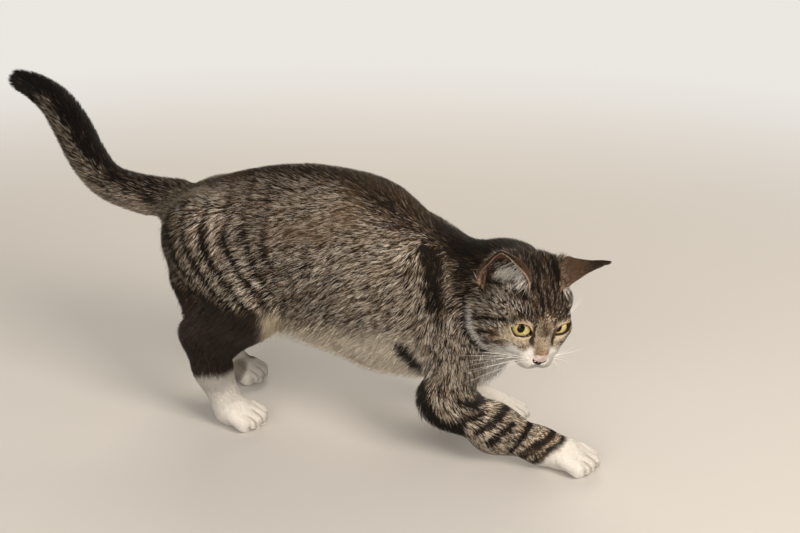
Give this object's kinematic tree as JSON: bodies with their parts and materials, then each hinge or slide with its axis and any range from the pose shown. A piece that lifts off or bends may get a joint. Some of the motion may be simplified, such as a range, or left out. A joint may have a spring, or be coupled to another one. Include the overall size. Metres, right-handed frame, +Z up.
{
  "type": "cat",
  "caption": "Life-size still model of a young grey-brown tabby cat, stalking low on its forelegs with its head turned to its right and its tail raised.",
  "frame": {"origin": "on the floor, under the middle of the whole figure's box, tail included", "axes": "+X the way the cat walks, +Y to the cat's left, +Z up"},
  "size_m": [0.5234, 0.1332, 0.2706],
  "materials": {
    "coat": "short dense fur, pale-tipped over a dark base, brown-grey with black bars, white on paws, chin and chest",
    "ear_skin": "thin short-haired ear, matt, dark-tipped at the back and pink-brown inside",
    "nose_leather": "bare grained pinkish-grey nose with a dark rim, slightly damp",
    "eyes": "wet clear cornea over a yellow-green iris and a dark upright pupil"
  },
  "bodies": {
    "root": {"head": "coat", "nose": "nose_leather", "eye_left": "eyes", "eye_right": "eyes", "ear_left": "ear_skin", "ear_right": "ear_skin", "trunk": "coat", "neck": "coat", "tail_base": "coat", "tail_middle": "coat", "tail_tip": "coat", "thigh_hind_right": "coat", "shank_hind_right": "coat", "paw_hind_right": "coat", "thigh_hind_left": "coat", "shank_hind_left": "coat", "paw_hind_left": "coat", "upper_arm_fore_right": "coat", "forearm_fore_right": "coat", "paw_fore_right": "coat", "upper_arm_fore_left": "coat", "forearm_fore_left": "coat", "paw_fore_left": "coat"}
  },
  "joints": []
}
